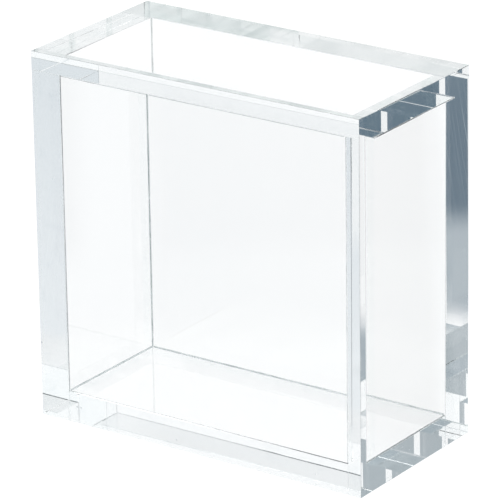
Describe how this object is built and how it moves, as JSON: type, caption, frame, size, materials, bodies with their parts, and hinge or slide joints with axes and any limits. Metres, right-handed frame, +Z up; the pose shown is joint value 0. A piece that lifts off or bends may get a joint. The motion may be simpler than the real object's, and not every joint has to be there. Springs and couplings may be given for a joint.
{
  "type": "acrylic display cube",
  "caption": "Closed block-shaped display case of thick clear acrylic plates with polished edges and cemented joints, hollow inside.",
  "frame": {"origin": "centre of the underside that the case stands on", "axes": "+Z up, +X to the right along the wide front face, +Y from the front plate to the back plate"},
  "size_m": [0.15, 0.075, 0.15],
  "materials": {
    "acrylic": "clear cast acrylic, polished faces and edges",
    "cement": "cured clear acrylic cement"
  },
  "bodies": {
    "root": {"front_plate": "acrylic", "back_plate": "acrylic", "left_wall": "acrylic", "right_wall": "acrylic", "floor_plate": "acrylic", "top_plate": "acrylic", "front_cement_ring": "cement", "back_cement_ring": "cement", "floor_left_cement": "cement", "floor_right_cement": "cement"}
  },
  "joints": []
}
